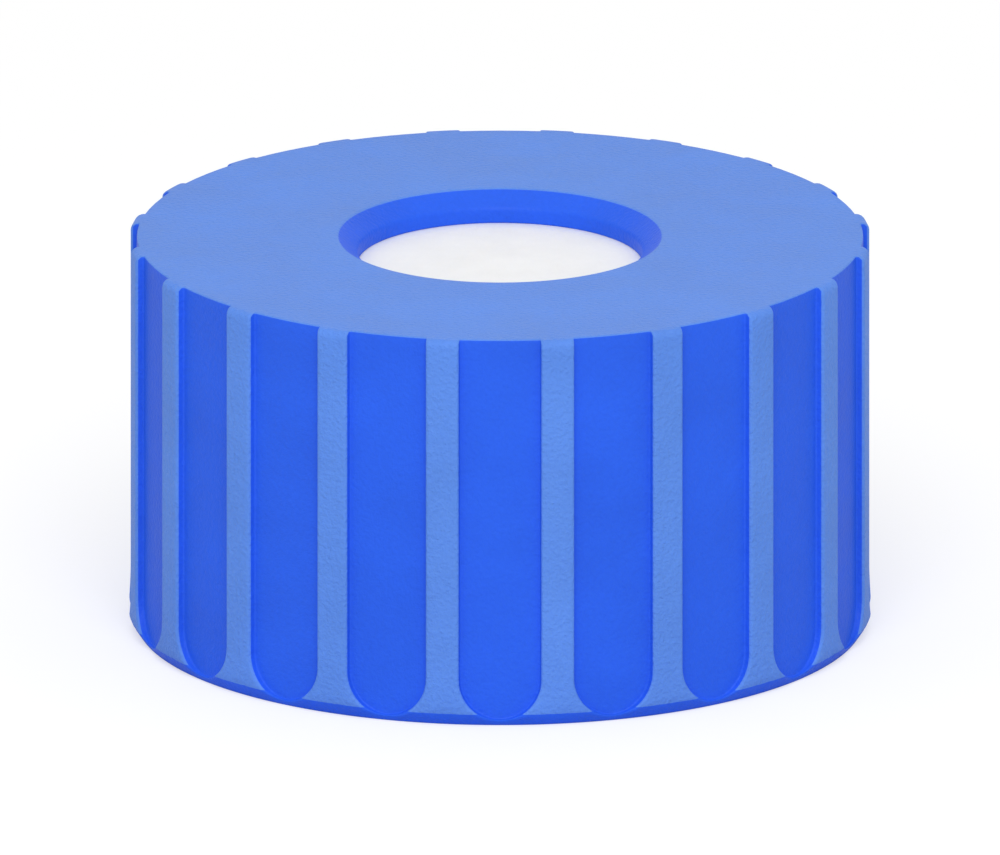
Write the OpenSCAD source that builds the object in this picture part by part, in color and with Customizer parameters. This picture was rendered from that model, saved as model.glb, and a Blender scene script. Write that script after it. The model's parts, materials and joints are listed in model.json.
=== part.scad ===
// Septum screw cap: a fluted polypropylene cap with an open top, and the silicone
// septum that it clamps on the mouth of a threaded bottle neck.
// Millimetres, +Z up. The cap stands on its open rim: the origin is the centre of
// the rim plane, and the middle of one flute faces -Y.

/* [Cap body] */
// Diameter over the grip lands
cap_d = 34; // [32:0.5:44]
// Height from the rim to the top face
cap_h = 18.4; // [16:0.1:28]
// Thickness of the top plate
plate_t = 1.4; // [1.2:0.1:2.5]
// Radius of the round along the outer top edge
top_round = 0.35; // [0.1:0.05:0.6]
// Height of the bevel along the outer foot
foot_bevel_h = 0.6; // [0.2:0.1:1]
// Width of the bevel along the outer foot
foot_bevel_w = 0.4; // [0.1:0.1:0.6]

/* [Grip flutes] */
// Number of flutes round the skirt
flute_count = 20; // [12:1:24]
// Width of a flute, which is also the diameter of its round lower end
flute_w = 3.8; // [1.5:0.1:4.6]
// Depth of a flute below the lands
flute_depth = 0.4; // [0.2:0.05:0.8]
// Height of a flute's lowest point above the rim
flute_foot = 0.3; // [0.2:0.1:3]

/* [Needle aperture] */
// Diameter of the funnel's mouth in the top face
mouth_d = 14.9; // [13.5:0.1:18]
// Diameter of the straight hole above the septum
aperture_d = 13; // [8:0.1:14.5]
// Height of the straight hole
aperture_land = 0.7; // [0.3:0.1:1]

/* [Neck thread] */
// Diameter of the threaded bore at the root of the thread
thread_d = 25.6; // [25:0.1:28]
// Height of the thread's ridge above its root
thread_depth = 1.3; // [0.9:0.1:1.5]
// Rise of the thread in one turn
thread_pitch = 3.5; // [3:0.1:5]
// Width of the ridge along its crest
thread_crest = 1; // [0.6:0.1:1.4]
// Axial width of each of the ridge's sloping flanks
thread_flank = 0.7; // [0.3:0.1:0.9]
// Height above the rim where the ridge begins
thread_start = 3.6; // [2.5:0.1:5]
// Angle round the axis where the ridge begins
thread_at = 240; // [0:10:350]
// Angle over which the ridge rises out of the wall, and sinks back at its other end
thread_fade = 50; // [20:5:90]
// Width of the bevel where the bore opens at the rim
lead_in = 0.6; // [0.2:0.1:1]

/* [Septum] */
// Diameter of the septum
septum_d = 24; // [23.6:0.1:24.4]
// Thickness of the septum
septum_t = 3; // [1.5:0.1:4]
// Gap all round between the septum and its recess
septum_gap = 0.3; // [0.1:0.05:0.4]
// Inner diameter of the bead that holds the septum up
bead_d = 23.2; // [22:0.1:23.5]
// Height of the bead's straight crest
bead_crest = 0.5; // [0.3:0.1:1]

/* [Hidden] */
$fn = 96;
// how far a cutter runs past the face that it opens
over = 1;

cap_r = cap_d / 2;
flute_floor_r = cap_r - flute_depth;
root_r = thread_d / 2;
crest_r = root_r - thread_depth;
bead_r = bead_d / 2;
recess_r = septum_d / 2 + septum_gap;

// heights, from the top plate down to the foot of the bead
plate_z = cap_h - plate_t;
shelf_z = plate_z - septum_t;
bead_z = shelf_z - bead_crest;
bead_foot_z = bead_z - (root_r - bead_r);

// the ridge climbs until it runs into the bead
thread_turned = (bead_z - thread_start) / thread_pitch * 360;
// angle between two sections of the ridge
ridge_step = 10;
thread_steps = ceil(thread_turned / ridge_step);
// the ridge is swept too high by this much, and its crest is then trimmed round
ridge_spare = 0.3;
// its back reaches this far into the wall
ridge_back = 0.6;
// and at its two ends it starts this far inside the wall
ridge_buried = 0.2;

// Section of the cap without its hollows, from the axis to the lands
module body_profile() {
    polygon([
        [0, 0],
        [cap_r - foot_bevel_w, 0],
        [cap_r, foot_bevel_h],
        [cap_r, cap_h - top_round],
        [cap_r - top_round, cap_h],
        [0, cap_h]
    ]);
    translate([cap_r - top_round, cap_h - top_round]) circle(r = top_round);
}

// Section of the space inside: bore, bead, septum recess, straight hole and funnel
module cavity_profile() {
    polygon([
        [0, -over],
        [root_r + lead_in, -over],
        [root_r + lead_in, 0],
        [root_r, lead_in],
        [root_r, bead_foot_z],
        [bead_r, bead_z],
        [bead_r, shelf_z],
        [recess_r, shelf_z],
        [recess_r, plate_z],
        [aperture_d / 2, plate_z],
        [aperture_d / 2, plate_z + aperture_land],
        [mouth_d / 2, cap_h],
        [mouth_d / 2, cap_h + over],
        [0, cap_h + over]
    ]);
}

// Cutter for one grip flute at -Y, open at the top and with a full-round lower end
module flute() {
    translate([0, 0, flute_foot + flute_w / 2])
        rotate([90, 0, 0])
            translate([0, 0, flute_floor_r - over])
                linear_extrude(cap_r - flute_floor_r + 2 * over) {
                    circle(d = flute_w);
                    translate([-flute_w / 2, 0]) square([flute_w, cap_h]);
                }
}

// One corner of the ridge's section, turned to its angle from where the ridge begins
function ridge_corner(angle, radius, height) =
    [radius * cos(thread_at + angle), radius * sin(thread_at + angle), height];

// The ridge's four-cornered section at one step: back bottom, crest bottom, crest top, back top
function ridge_section(step) =
    let (
        angle = step / thread_steps * thread_turned,
        middle = thread_start + angle / 360 * thread_pitch,
        from_end = min(angle, thread_turned - angle),
        faded = max(0, 1 - from_end / thread_fade),
        swept_r = crest_r - ridge_spare,
        front_r = swept_r + faded * (root_r + ridge_buried - swept_r),
        back_r = root_r + ridge_back,
        slope = thread_flank / thread_depth,
        front_w = thread_crest / 2 - ridge_spare * slope,
        back_w = front_w + (back_r - front_r) * slope
    )
    [
        ridge_corner(angle, back_r, middle - back_w),
        ridge_corner(angle, front_r, middle - front_w),
        ridge_corner(angle, front_r, middle + front_w),
        ridge_corner(angle, back_r, middle + back_w)
    ];

// The ridge swept along its helix, with a section at each step
module ridge_sweep() {
    polyhedron(
        points = [for (step = [0 : thread_steps]) each ridge_section(step)],
        faces = [
            [0, 1, 2, 3],
            for (step = [0 : thread_steps - 1], side = [0 : 3])
                let (here = 4 * step, next = (side + 1) % 4)
                each [
                    [here + side, here + 4 + side, here + 4 + next],
                    [here + side, here + 4 + next, here + next]
                ],
            [for (side = [3 : -1 : 0]) 4 * thread_steps + side]
        ]
    );
}

// The thread: the ridge with a round crest, kept out of the septum's recess
module thread() {
    difference() {
        ridge_sweep();
        cylinder(r = crest_r, h = cap_h);
        translate([0, 0, shelf_z]) cylinder(r = recess_r, h = septum_t);
    }
}

// Polypropylene moulding: plate, fluted skirt, thread, bead and septum recess
module screw_cap() {
    color("cornflowerblue") {
        difference() {
            union() {
                difference() {
                    rotate_extrude() body_profile();
                    for (i = [0 : flute_count - 1])
                        rotate([0, 0, i * 360 / flute_count]) flute();
                }
                // the flutes' floors are the wall of this core
                rotate_extrude() intersection() {
                    body_profile();
                    square([flute_floor_r, cap_h]);
                }
            }
            rotate_extrude() cavity_profile();
        }
        thread();
    }
}

// Silicone disc between the plate and the bead
module septum() {
    color("white")
        translate([0, 0, shelf_z]) cylinder(d = septum_d, h = septum_t);
}

screw_cap();
septum();
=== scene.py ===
import json
from math import atan2, copysign, cos, pi, radians, sin

import bmesh
import bpy
from mathutils import Euler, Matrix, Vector


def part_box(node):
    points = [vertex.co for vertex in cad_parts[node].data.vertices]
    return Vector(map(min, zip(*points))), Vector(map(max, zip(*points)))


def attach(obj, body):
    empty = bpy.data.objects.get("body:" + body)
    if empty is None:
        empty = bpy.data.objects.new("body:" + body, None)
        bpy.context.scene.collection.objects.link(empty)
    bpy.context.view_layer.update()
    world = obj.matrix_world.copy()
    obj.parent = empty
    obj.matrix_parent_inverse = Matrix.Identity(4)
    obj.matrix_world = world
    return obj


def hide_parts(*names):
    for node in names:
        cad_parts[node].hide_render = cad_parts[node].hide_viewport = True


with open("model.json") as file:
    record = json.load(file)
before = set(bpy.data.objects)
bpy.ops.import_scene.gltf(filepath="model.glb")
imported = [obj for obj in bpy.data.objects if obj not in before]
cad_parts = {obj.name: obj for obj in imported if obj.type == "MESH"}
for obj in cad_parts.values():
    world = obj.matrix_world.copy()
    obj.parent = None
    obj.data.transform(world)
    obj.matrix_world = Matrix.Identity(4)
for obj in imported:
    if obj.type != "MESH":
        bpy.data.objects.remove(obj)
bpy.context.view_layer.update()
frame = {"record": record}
MM = 0.001


# ---------------------------------------------------------------------------
# Screw cap
# The cap is one injection moulding in polypropylene. Outside it has a flat top and a
# skirt of grip flutes with round lower ends. Inside it has the hole that guides a
# needle, the recess and bead that hold the septum, and the neck thread.
# ---------------------------------------------------------------------------

cap_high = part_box("screw_cap")[1]
septum_low, septum_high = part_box("septum")
mounts = {mount["name"]: mount["dims"] for mount in frame["record"]["mounts"]}

cap_r = 17.0 * MM
cap_h = cap_high[2]
flute_count = 20
flute_depth = 0.4 * MM
flute_half_w = 1.9 * MM
flute_foot_z = 0.3 * MM
foot_bevel_h = 0.6 * MM
foot_bevel_w = 0.4 * MM
floor_r = cap_r - flute_depth
floor_fillet = 0.1 * MM
land_fillet = 0.15 * MM
floor_end = flute_half_w - floor_fillet
land_start = flute_half_w + land_fillet
sector_angle = 2 * pi / flute_count
half_pitch = cap_r * sector_angle / 2
flute_centre_z = flute_foot_z + flute_half_w
floor_top_round = 0.1 * MM
land_top_round = 0.35 * MM
skirt_foot_z = 0.06 * MM

# the top face's outer ring has few points, and every row of the inside has as many
top_ring_r = floor_r - 0.3 * MM
half_ring = [floor_end / 2, floor_end, land_start, half_pitch]
ring_places = [-place for place in reversed(half_ring)] + [0] + half_ring

mouth_r = 7.45 * MM
aperture_r = mounts["needle_aperture"]["r_mm"] * MM
aperture_land = mounts["needle_aperture"]["length_mm"] * MM
plate_z = septum_high[2]
shelf_z = septum_low[2]
septum_gap = 0.3 * MM
recess_r = septum_high[0] + septum_gap
bead_r = 11.6 * MM
bead_crest = 0.5 * MM
bead_z = shelf_z - bead_crest
root_r = 12.8 * MM
bead_foot_z = bead_z - (root_r - bead_r)
lead_in = 0.6 * MM

crest_r = mounts["neck_thread"]["r_mm"] * MM
thread_pitch = 3.5 * MM
thread_crest = 1.0 * MM
thread_flank = 0.7 * MM
thread_start_z = 3.6 * MM
thread_at = radians(240)
thread_fade = radians(50)

# points nearer to each other than this are one point
merge_distance = 0.0005 * MM


def soft_corner(before, corner, after, reach, steps=4):
    """Points of a short curve that starts and ends at that reach from a sharp corner."""
    corner = Vector(corner)
    start = corner + (Vector(before) - corner).normalized() * reach
    end = corner + (Vector(after) - corner).normalized() * reach
    shares = [step / steps for step in range(steps + 1)]
    return [start * (1 - t) ** 2 + corner * 2 * t * (1 - t) + end * t ** 2 for t in shares]


def land_radius(z):
    """Radius over the lands: straight, with a softened bevel along the foot."""
    softness = 0.1 * MM
    bevel_r = cap_r - foot_bevel_w * (1 - z / foot_bevel_h)
    overlap = max(softness - abs(cap_r - bevel_r), 0) / softness
    return min(cap_r, bevel_r) - softness * overlap ** 2 / 4


def ring_point(radius, angle, z):
    """Point on a ring round the axis, at that angle from the front."""
    return Vector((radius * sin(angle), -radius * cos(angle), z))


def skirt_point(x, z, relief):
    """Point on the skirt, x from a flute's middle: relief is 0 on the floor and 1 on a land."""
    return ring_point(floor_r + relief * (land_radius(z) - floor_r), x / cap_r, z)


def steps_over_edge():
    """Steps over a flute's edge, as (distance out from its outline, relief)."""
    fillet_steps = 4
    turns = [pi / 2 * step / fillet_steps for step in range(fillet_steps + 1)]
    floor = [(floor_fillet * (sin(turn) - 1), floor_fillet * (1 - cos(turn))) for turn in turns]
    land = [
        (land_fillet * (1 - cos(turn)), flute_depth - land_fillet * (1 - sin(turn)))
        for turn in turns
    ]
    return [(distance, rise / flute_depth) for distance, rise in floor + land]


def steps_outwards(reach):
    """Steps from a flute's middle, over its edge and on to that reach, as (distance, relief)."""
    land_steps = 6
    edge = [(flute_half_w + distance, relief) for distance, relief in steps_over_edge()]
    land = [
        (land_start + (reach - land_start) * step / land_steps, 1)
        for step in range(1, land_steps + 1)
    ]
    return [(0, 0), (floor_end / 2, 0)] + edge + land


def ring_place(x, relief):
    """Place where a skirt column meets the top's ring: the many over an edge and a land share two."""
    if relief == 0:
        return x
    shared = [copysign(land_start, x), copysign(half_pitch, x)]
    return min(shared, key=lambda place: abs(place - x))


def skirt_rows():
    """Rows of the skirt from a flute's round end up, over the top edge and on to the ring."""
    straight_steps = 4
    round_steps = 5
    top_margin = 0.6 * MM
    right = steps_outwards(half_pitch)
    columns = [(-x, relief) for x, relief in reversed(right)] + right[1:]
    straight_h = cap_h - top_margin - flute_centre_z
    rows = []
    for step in range(straight_steps + 1):
        z = flute_centre_z + straight_h * step / straight_steps
        rows.append([skirt_point(x, z, relief) for x, relief in columns])
    for step in range(round_steps + 1):
        turn = pi / 2 * step / round_steps
        row = []
        for x, relief in columns:
            edge_round = floor_top_round + relief * (land_top_round - floor_top_round)
            radius = floor_r + relief * flute_depth - edge_round * (1 - cos(turn))
            row.append(ring_point(radius, x / cap_r, cap_h - edge_round * (1 - sin(turn))))
        rows.append(row)
    ring_angles = [ring_place(x, relief) / cap_r for x, relief in columns]
    rows.append([ring_point(top_ring_r, angle, cap_h) for angle in ring_angles])
    return rows


def round_end_rows():
    """Rays that fan out from the middle of a flute's round end to the edge of its sector."""
    side_steps = 6
    below_steps = 16
    drop = flute_centre_z - skirt_foot_z
    corner = atan2(drop, half_pitch)
    side = [corner * step / side_steps for step in range(side_steps)]
    below = [corner + (pi - 2 * corner) * step / below_steps for step in range(below_steps + 1)]
    rows = []
    for turn in [pi - turn for turn in side] + below[::-1] + side[::-1]:
        reach = 1 / max(abs(cos(turn)) / half_pitch, sin(turn) / drop)
        rows.append([
            skirt_point(distance * cos(turn), flute_centre_z - distance * sin(turn), relief)
            for distance, relief in steps_outwards(reach)
        ])
    return rows


def foot_rows(angles):
    """Rows from the flat rim round its outer corner to the foot of the skirt."""
    rim_margin = 0.4 * MM
    skirt_end = (land_radius(skirt_foot_z), skirt_foot_z)
    corner = (cap_r - foot_bevel_w, 0)
    rim = (corner[0] - rim_margin, 0)
    reach = (Vector(skirt_end) - Vector(corner)).length
    section = [rim] + soft_corner(rim, corner, skirt_end, reach)
    return [[ring_point(radius, angle, z) for angle in angles] for radius, z in section]


def inside_rows():
    """Rows of the inside, from the top face down the hole and out to the rim."""
    flat_margin = 0.5 * MM
    # radius and height of each corner, and the millimetres over which it is softened
    corners = [
        (mouth_r + flat_margin, cap_h, 0),
        (mouth_r, cap_h, 0.12),
        (aperture_r, plate_z + aperture_land, 0.15),
        (aperture_r, plate_z, 0.08),
        (recess_r, plate_z, 0.15),
        (recess_r, shelf_z, 0.08),
        (bead_r, shelf_z, 0.06),
        (bead_r, bead_z, 0.12),
        (root_r, bead_foot_z, 0.2),
        (root_r, lead_in, 0.2),
        (root_r + lead_in, 0, 0.12),
        (root_r + lead_in + flat_margin, 0, 0),
    ]
    section = [corners[0][:2]]
    for before, here, after in zip(corners, corners[1:], corners[2:]):
        section += soft_corner(before[:2], here[:2], after[:2], here[2] * MM)
    section.append(corners[-1][:2])
    steps = len(ring_places) - 1
    angles = [sector_angle * (step / steps - 0.5) for step in range(steps + 1)]
    return [[ring_point(radius, angle, z) for angle in angles] for radius, z in section]


def skin(mesh, rows):
    """Quads between rows of points, each row from left to right as seen from outside."""
    grid = [[mesh.verts.new(point) for point in row] for row in rows]
    for row, following in zip(grid, grid[1:]):
        for corners in zip(row, row[1:], following[1:], following):
            mesh.faces.new(corners)


def flat_face(mesh, row, following):
    """One flat face between two rows, whatever number of points each has."""
    mesh.faces.new([mesh.verts.new(point) for point in row + following[::-1]])


def cap_sector():
    """One flute's share of the moulding, all round its section."""
    round_end = round_end_rows()
    foot_points = [ray[-1] for ray in round_end if ray[-1].z < skirt_foot_z + merge_distance]
    foot = foot_rows([atan2(point.x, -point.y) for point in foot_points])
    inside = inside_rows()
    top_ring = [ring_point(top_ring_r, place / cap_r, cap_h) for place in ring_places]
    mesh = bmesh.new()
    for rows in [skirt_rows(), round_end, foot, [top_ring] + inside]:
        skin(mesh, rows)
    flat_face(mesh, inside[-1], foot[0])
    bmesh.ops.remove_doubles(mesh, verts=mesh.verts, dist=merge_distance)
    sector = bpy.data.meshes.new("cap_moulding")
    mesh.to_mesh(sector)
    mesh.free()
    return sector


def add_node(tree, kind, inputs=None, **settings):
    """A node of that kind, with its settings made and its inputs set or linked."""
    made = tree.nodes.new(kind)
    for name, value in settings.items():
        setattr(made, name, value)
    for key, value in (inputs or {}).items():
        if isinstance(value, bpy.types.NodeSocket):
            tree.links.new(value, made.inputs[key])
        else:
            made.inputs[key].default_value = value
    return made


def calculate(tree, operation, first, second=0.0):
    """The result of one sum on two values."""
    return add_node(tree, "ShaderNodeMath", {0: first, 1: second}, operation=operation).outputs[0]


def blend_colours(tree, share, first, second):
    """A colour that share of the way from the first to the second."""
    mix = add_node(tree, "ShaderNodeMixRGB", {"Fac": share, "Color1": first, "Color2": second})
    return mix.outputs[0]


def blue_polypropylene():
    """Satin blue plastic of one colour, with painted light as a lighter tone on the top and the lands, and
    painted shade as a deeper tone in the flutes, the foot and the inside.
    """
    # one blue in two tones: the light one is painted light on the top and the lands, the deep one is
    # painted shade in the flutes, the foot bevel and the inside
    painted_lit_blue = (0.106, 0.262, 0.785, 1)
    painted_shade_blue = (0.022, 0.118, 0.800, 1)
    # how deep the painted light tone goes below the lands, the top and the top's edge
    below_land = 0.12 * MM
    below_top = 0.05 * MM
    below_edge = 0.3 * MM
    border = 0.012 * MM
    mottle_low = 0.45
    mottle_high = 1.05
    material = bpy.data.materials.new("blue_polypropylene")
    material.use_nodes = True
    tree = material.node_tree
    tree.nodes.clear()
    place = add_node(tree, "ShaderNodeTexCoord").outputs["Object"]
    x, y, z = add_node(tree, "ShaderNodeSeparateXYZ", {0: place}).outputs
    x_squared = calculate(tree, "MULTIPLY", x, x)
    y_squared = calculate(tree, "MULTIPLY", y, y)
    radius = calculate(tree, "SQRT", calculate(tree, "ADD", x_squared, y_squared))

    def past(value, limit):
        """0 below the limit and 1 above it."""
        reach = {"Value": value, "From Min": limit - border, "From Max": limit + border}
        return add_node(tree, "ShaderNodeMapRange", reach).outputs[0]

    on_land = past(radius, cap_r - below_land)
    on_top = past(z, cap_h - below_top)
    on_top_edge = past(calculate(tree, "ADD", radius, z), cap_r + cap_h - below_edge)
    raised = calculate(tree, "MAXIMUM", on_land, calculate(tree, "MAXIMUM", on_top, on_top_edge))
    # 1 where the painted light tone goes, 0 where the painted shade goes: the flutes, the foot bevel and
    # the inside
    painted_light_share = calculate(tree, "MULTIPLY", raised, past(z, foot_bevel_h))
    painted_light_and_shade = blend_colours(tree, painted_light_share, painted_shade_blue, painted_lit_blue)

    clouds = add_node(tree, "ShaderNodeTexNoise", {
        "Vector": place, "Scale": 220.0, "Detail": 4.0, "Roughness": 0.6})
    mould_grain = add_node(tree, "ShaderNodeTexNoise", {
        "Vector": place, "Scale": 5000.0, "Detail": 3.0, "Roughness": 0.6})
    fine_mottle = calculate(tree, "MULTIPLY", mould_grain.outputs[0], 0.5)
    mottle = calculate(tree, "ADD", clouds.outputs[0], fine_mottle)
    shade = add_node(tree, "ShaderNodeMapRange", {
        "Value": mottle, "From Min": mottle_low, "From Max": mottle_high, "To Min": 0.92, "To Max": 1.08})
    colour = add_node(tree, "ShaderNodeHueSaturation", {"Color": painted_light_and_shade, "Value": shade.outputs[0]})
    roughness = add_node(tree, "ShaderNodeMapRange", {
        "Value": mottle, "From Min": mottle_low, "From Max": mottle_high, "To Min": 0.4, "To Max": 0.52})
    # the mould is grained over the top and the lands, and smoother in the flutes
    grain_strength = add_node(tree, "ShaderNodeMapRange", {
        "Value": painted_light_share, "To Min": 0.5, "To Max": 1.0})
    grain = add_node(tree, "ShaderNodeBump", {
        "Height": mould_grain.outputs[0], "Strength": grain_strength.outputs[0], "Distance": 0.1 * MM})
    shader = add_node(tree, "ShaderNodeBsdfPrincipled", {
        "Base Color": colour.outputs[0],
        "Roughness": roughness.outputs[0],
        "Normal": grain.outputs[0],
        "IOR": 1.49,
        "Specular IOR Level": 0.15,
        "Subsurface Weight": 0.05,
        "Subsurface Radius": (0.3, 0.5, 1.0),
        "Subsurface Scale": 1.0 * MM,
    })
    add_node(tree, "ShaderNodeOutputMaterial", {"Surface": shader.outputs[0]})
    return material


def moulding_tree():
    """Repeats the sector round the axis, closes its seams and fuses the thread to the wall."""
    tree = bpy.data.node_groups.new("repeat_flute_and_add_thread", "GeometryNodeTree")
    tree.interface.new_socket("Geometry", in_out="OUTPUT", socket_type="NodeSocketGeometry")
    tree.interface.new_socket("Geometry", in_out="INPUT", socket_type="NodeSocketGeometry")
    tree.interface.new_socket("Flutes", in_out="INPUT", socket_type="NodeSocketInt")
    for name in [
        "Merge Distance", "Thread Path Radius", "Thread Turns", "Thread Climb", "Thread Start Height",
        "Thread Start Angle", "Fade Share", "End Scale", "Ridge Base", "Ridge Crest", "Ridge Height",
        "Ridge Buried", "Ridge Round", "Crease Angle",
    ]:
        tree.interface.new_socket(name, in_out="INPUT", socket_type="NodeSocketFloat")
    tree.interface.new_socket("Material", in_out="INPUT", socket_type="NodeSocketMaterial")
    given = add_node(tree, "NodeGroupInput").outputs

    index = add_node(tree, "GeometryNodeInputIndex").outputs[0]
    step_angle = calculate(tree, "DIVIDE", 2 * pi, given["Flutes"])
    angle = calculate(tree, "MULTIPLY", index, step_angle)
    turned = add_node(tree, "ShaderNodeCombineXYZ", {"Z": angle})
    axis_points = add_node(tree, "GeometryNodePoints", {"Count": given["Flutes"]})
    sectors = add_node(tree, "GeometryNodeInstanceOnPoints", {
        "Points": axis_points.outputs[0],
        "Instance": given["Geometry"],
        "Rotation": turned.outputs[0],
    })
    ring = add_node(tree, "GeometryNodeRealizeInstances", {"Geometry": sectors.outputs[0]})
    closed_ring = add_node(tree, "GeometryNodeMergeByDistance", {
        "Geometry": ring.outputs[0], "Distance": given["Merge Distance"]})

    spiral = add_node(tree, "GeometryNodeCurveSpiral", {
        "Resolution": 96,
        "Rotations": given["Thread Turns"],
        "Start Radius": given["Thread Path Radius"],
        "End Radius": given["Thread Path Radius"],
        "Height": given["Thread Climb"],
        "Reverse": True,
    })
    start_place = add_node(tree, "ShaderNodeCombineXYZ", {"Z": given["Thread Start Height"]})
    start_turn = add_node(tree, "ShaderNodeCombineXYZ", {"Z": given["Thread Start Angle"]})
    helix = add_node(tree, "GeometryNodeTransform", {
        "Geometry": spiral.outputs[0],
        "Translation": start_place.outputs[0],
        "Rotation": start_turn.outputs[0],
    })
    upright = add_node(tree, "GeometryNodeSetCurveNormal", {"Curve": helix.outputs[0]}, mode="Z_UP")
    along = add_node(tree, "GeometryNodeSplineParameter").outputs["Factor"]
    from_end = calculate(tree, "MINIMUM", along, calculate(tree, "SUBTRACT", 1.0, along))
    fade = add_node(tree, "ShaderNodeMapRange", {
        "Value": from_end, "From Max": given["Fade Share"], "To Min": given["End Scale"],
    }, interpolation_type="SMOOTHSTEP")
    section = add_node(tree, "GeometryNodeCurvePrimitiveQuadrilateral", {
        "Bottom Width": given["Ridge Base"],
        "Top Width": given["Ridge Crest"],
        "Offset": 0.0,
        "Height": given["Ridge Height"],
    }, mode="TRAPEZOID")
    # the section's origin is on the wall, so that the ridge sinks into it where it fades
    half_height = calculate(tree, "MULTIPLY", given["Ridge Height"], 0.5)
    from_wall = calculate(tree, "SUBTRACT", given["Ridge Buried"], half_height)
    on_wall = add_node(tree, "ShaderNodeCombineXYZ", {"X": from_wall})
    crest_inwards = add_node(tree, "GeometryNodeTransform", {
        "Geometry": section.outputs[0],
        "Translation": on_wall.outputs[0],
        "Rotation": Euler((0, 0, pi / 2)),
    })
    soft_section = add_node(tree, "GeometryNodeFilletCurve", {
        "Curve": crest_inwards.outputs[0], "Count": 3, "Radius": given["Ridge Round"],
    }, mode="POLY")
    ridge = add_node(tree, "GeometryNodeCurveToMesh", {
        "Curve": upright.outputs[0],
        "Profile Curve": soft_section.outputs[0],
        "Scale": fade.outputs[0],
        "Fill Caps": True,
    })
    moulding = add_node(tree, "GeometryNodeMeshBoolean", {
        "Mesh 2": closed_ring.outputs[0],
    }, operation="UNION", solver="EXACT")
    tree.links.new(ridge.outputs[0], moulding.inputs["Mesh 2"])
    smooth = add_node(tree, "GeometryNodeSetShadeSmooth", {"Geometry": moulding.outputs[0]}, domain="FACE")
    edge_angle = add_node(tree, "GeometryNodeInputMeshEdgeAngle").outputs["Unsigned Angle"]
    sharp = calculate(tree, "GREATER_THAN", edge_angle, given["Crease Angle"])
    crisp = add_node(tree, "GeometryNodeSetShadeSmooth", {
        "Geometry": smooth.outputs[0], "Selection": sharp, "Shade Smooth": False,
    }, domain="EDGE")
    realized = add_node(tree, "GeometryNodeRealizeInstances", {"Geometry": crisp.outputs[0]})
    coloured = add_node(tree, "GeometryNodeSetMaterial", {
        "Geometry": realized.outputs[0], "Material": given["Material"]})
    add_node(tree, "NodeGroupOutput", {0: coloured.outputs[0]})
    return tree


def made_by_nodes(start, tree, inputs):
    """The plain mesh that a tree of nodes makes of a starting mesh."""
    maker = bpy.data.objects.new("maker", start)
    bpy.context.scene.collection.objects.link(maker)
    modifier = maker.modifiers.new("nodes", "NODES")
    modifier.node_group = tree
    for item in tree.interface.items_tree:
        if item.in_out == "INPUT" and item.name in inputs:
            modifier[item.identifier] = inputs[item.name]
    evaluated = maker.evaluated_get(bpy.context.evaluated_depsgraph_get())
    result = bpy.data.meshes.new_from_object(evaluated)
    bpy.data.objects.remove(maker)
    return result


ridge_buried = 0.5 * MM
ridge_round = 0.2 * MM
thread_climb = bead_z - thread_start_z
thread_turns = thread_climb / thread_pitch
flank_slope = thread_flank / (root_r - crest_r)
ridge_h = root_r - crest_r + ridge_buried
cap_mesh = made_by_nodes(cap_sector(), moulding_tree(), {
    "Flutes": flute_count,
    "Merge Distance": merge_distance,
    "Thread Path Radius": root_r,
    "Thread Turns": thread_turns,
    "Thread Climb": thread_climb,
    "Thread Start Height": thread_start_z,
    "Thread Start Angle": thread_at,
    "Fade Share": thread_fade / (2 * pi * thread_turns),
    "End Scale": 0.2,
    "Ridge Base": thread_crest + 2 * ridge_h * flank_slope,
    "Ridge Crest": thread_crest,
    "Ridge Height": ridge_h,
    "Ridge Buried": ridge_buried,
    "Ridge Round": ridge_round,
    "Crease Angle": radians(42),
    "Material": blue_polypropylene(),
})
cap_moulding = bpy.data.objects.new("cap_moulding", cap_mesh)
bpy.context.scene.collection.objects.link(cap_moulding)
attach(cap_moulding, "root")
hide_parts("screw_cap")


# ---------------------------------------------------------------------------
# Septum
# The septum is a plain disc punched from white silicone sheet. It is pushed past the
# bead, lies flat against the underside of the top plate and seals on the neck's mouth.
# ---------------------------------------------------------------------------

septum_r = septum_high[0]
septum_edge = 0.15 * MM
septum_steps = 144


def white_silicone():
    """Matt white rubber with a faint chalky mottle and the skin of the rolled sheet."""
    material = bpy.data.materials.new("white_silicone")
    material.use_nodes = True
    tree = material.node_tree
    tree.nodes.clear()
    place = add_node(tree, "ShaderNodeTexCoord").outputs["Object"]
    mottle = add_node(tree, "ShaderNodeTexNoise", {
        "Vector": place, "Scale": 500.0, "Detail": 4.0, "Roughness": 0.6})
    colour = blend_colours(tree, mottle.outputs[0], (0.87, 0.87, 0.86, 1), (0.97, 0.97, 0.96, 1))
    skin_grain = add_node(tree, "ShaderNodeTexNoise", {
        "Vector": place, "Scale": 4000.0, "Detail": 3.0, "Roughness": 0.6})
    grain = add_node(tree, "ShaderNodeBump", {
        "Height": skin_grain.outputs[0], "Strength": 0.8, "Distance": 0.06 * MM})
    roughness = add_node(tree, "ShaderNodeMapRange", {
        "Value": mottle.outputs[0], "To Min": 0.55, "To Max": 0.7})
    shader = add_node(tree, "ShaderNodeBsdfPrincipled", {
        "Base Color": colour,
        "Roughness": roughness.outputs[0],
        "Normal": grain.outputs[0],
        "IOR": 1.41,
        "Subsurface Weight": 0.15,
        "Subsurface Radius": (1.0, 0.9, 0.8),
        "Subsurface Scale": 1.0 * MM,
    })
    add_node(tree, "ShaderNodeOutputMaterial", {"Surface": shader.outputs[0]})
    return material


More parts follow.
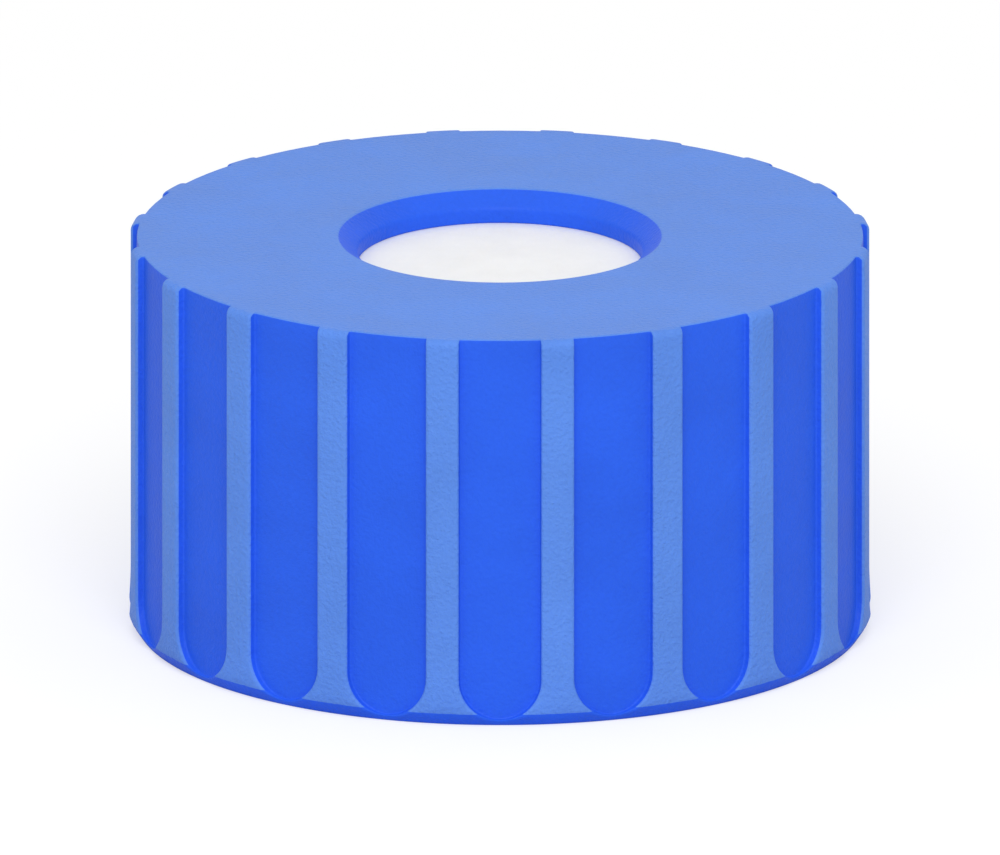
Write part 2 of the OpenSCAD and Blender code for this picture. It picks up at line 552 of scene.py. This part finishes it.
def septum_mesh():
    """The disc's section, with softened edges, turned all round the axis."""
    corners = [
        (0, septum_low[2]),
        (septum_r, septum_low[2]),
        (septum_r, septum_high[2]),
        (0, septum_high[2]),
    ]
    section = [corners[0]]
    for before, here, after in zip(corners, corners[1:], corners[2:]):
        section += soft_corner(before, here, after, septum_edge)
    section.append(corners[-1])
    angles = [2 * pi * step / septum_steps for step in range(septum_steps + 1)]
    mesh = bmesh.new()
    skin(mesh, [[ring_point(radius, angle, z) for angle in angles] for radius, z in section])
    bmesh.ops.remove_doubles(mesh, verts=mesh.verts, dist=merge_distance)
    disc = bpy.data.meshes.new("septum_disc")
    mesh.to_mesh(disc)
    mesh.free()
    disc.shade_smooth()
    return disc


septum_disc = bpy.data.objects.new("septum_disc", septum_mesh())
bpy.context.scene.collection.objects.link(septum_disc)
septum_disc.data.materials.append(white_silicone())
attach(septum_disc, "root")
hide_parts("septum")


# ---------------------------------------------------------------------------
# Studio
# The cap stands on a pale floor. A large soft lamp above the front and an even white
# world light it, and the floor keeps the cap's shadow.
# ---------------------------------------------------------------------------

ambient_level = 0.66
floor_lift = 0.56
floor_paint = 0.5
floor_plain_from = 0.03
floor_white_from = 0.12


def pale_floor():
    """White floor that keeps a soft shadow round the cap and is seen plain white further off."""
    material = bpy.data.materials.new("pale_floor")
    material.use_nodes = True
    tree = material.node_tree
    tree.nodes.clear()
    paint = add_node(tree, "ShaderNodeBsdfDiffuse", {"Color": (0.8, 0.8, 0.8, 1)})
    seen_grey = (floor_paint, floor_paint, floor_paint, 1)
    seen_paint = add_node(tree, "ShaderNodeBsdfDiffuse", {"Color": seen_grey})
    lift = add_node(tree, "ShaderNodeEmission", {"Strength": floor_lift})
    seen = add_node(tree, "ShaderNodeAddShader", {0: seen_paint.outputs[0], 1: lift.outputs[0]})
    place = add_node(tree, "ShaderNodeTexCoord").outputs["Object"]
    distance = add_node(tree, "ShaderNodeVectorMath", {0: place}, operation="LENGTH").outputs["Value"]
    far = add_node(tree, "ShaderNodeMapRange", {
        "Value": distance, "From Min": floor_plain_from, "From Max": floor_white_from,
    }, interpolation_type="SMOOTHSTEP")
    white = add_node(tree, "ShaderNodeEmission")
    surface = add_node(tree, "ShaderNodeMixShader", {
        0: far.outputs[0], 1: seen.outputs[0], 2: white.outputs[0]})
    to_camera = add_node(tree, "ShaderNodeLightPath").outputs["Is Camera Ray"]
    shader = add_node(tree, "ShaderNodeMixShader", {
        0: to_camera, 1: paint.outputs[0], 2: surface.outputs[0]})
    add_node(tree, "ShaderNodeOutputMaterial", {"Surface": shader.outputs[0]})
    return material


def white_world():
    """Even light on the cap, with plain white behind it and in its reflections."""
    world = bpy.data.worlds.new("white_world")
    world.use_nodes = True
    tree = world.node_tree
    tree.nodes.clear()
    ray = add_node(tree, "ShaderNodeLightPath").outputs
    mirrored = calculate(tree, "MAXIMUM", ray["Is Glossy Ray"], ray["Is Transmission Ray"])
    shown = calculate(tree, "MAXIMUM", ray["Is Camera Ray"], mirrored)
    level = add_node(tree, "ShaderNodeMapRange", {"Value": shown, "To Min": ambient_level})
    light = add_node(tree, "ShaderNodeBackground", {"Strength": level.outputs[0], "Color": (1, 1, 1, 1)})
    add_node(tree, "ShaderNodeOutputWorld", {"Surface": light.outputs[0]})
    return world


floor_reach = 0.4
floor_mesh = bpy.data.meshes.new("floor")
floor_signs = [(-1, -1), (1, -1), (1, 1), (-1, 1)]
floor_corners = [(x * floor_reach, y * floor_reach, 0) for x, y in floor_signs]
floor_mesh.from_pydata(floor_corners, [], [(0, 1, 2, 3)])
floor_mesh.materials.append(pale_floor())
floor = bpy.data.objects.new("floor", floor_mesh)
bpy.context.scene.collection.objects.link(floor)
bpy.context.scene.world = white_world()


def looking_at(target, distance, elevation):
    """Place and turn of a lamp or camera that looks at a target from the front."""
    direction = Vector((0, -cos(elevation), sin(elevation)))
    return Vector(target) + direction * distance, Euler((pi / 2 - elevation, 0, 0))


lamp_distance = 0.45
lamp_elevation = radians(46)
lamp = bpy.data.lights.new("soft_lamp", "AREA")
lamp.shape = "DISK"
lamp.size = 0.3
lamp.energy = 1.0
soft_lamp = bpy.data.objects.new("soft_lamp", lamp)
cap_middle = (0, 0, cap_h / 2)
soft_lamp.location, soft_lamp.rotation_euler = looking_at(cap_middle, lamp_distance, lamp_elevation)
bpy.context.scene.collection.objects.link(soft_lamp)

# the view is parallel, and the cap fills this many of the picture's pixels from side to side
picture_width = 1000
cap_width = 744
camera_distance = 0.3
view_elevation = radians(16.8)
view_aim = (0, 0, 9.21 * MM)
camera = bpy.data.cameras.new("camera")
camera.type = "ORTHO"
camera.ortho_scale = 2 * cap_r * picture_width / cap_width
camera_stand = bpy.data.objects.new("camera", camera)
camera_stand.location, camera_stand.rotation_euler = looking_at(view_aim, camera_distance, view_elevation)
bpy.context.scene.collection.objects.link(camera_stand)
bpy.context.scene.camera = camera_stand
bpy.context.scene.view_settings.view_transform = "Standard"
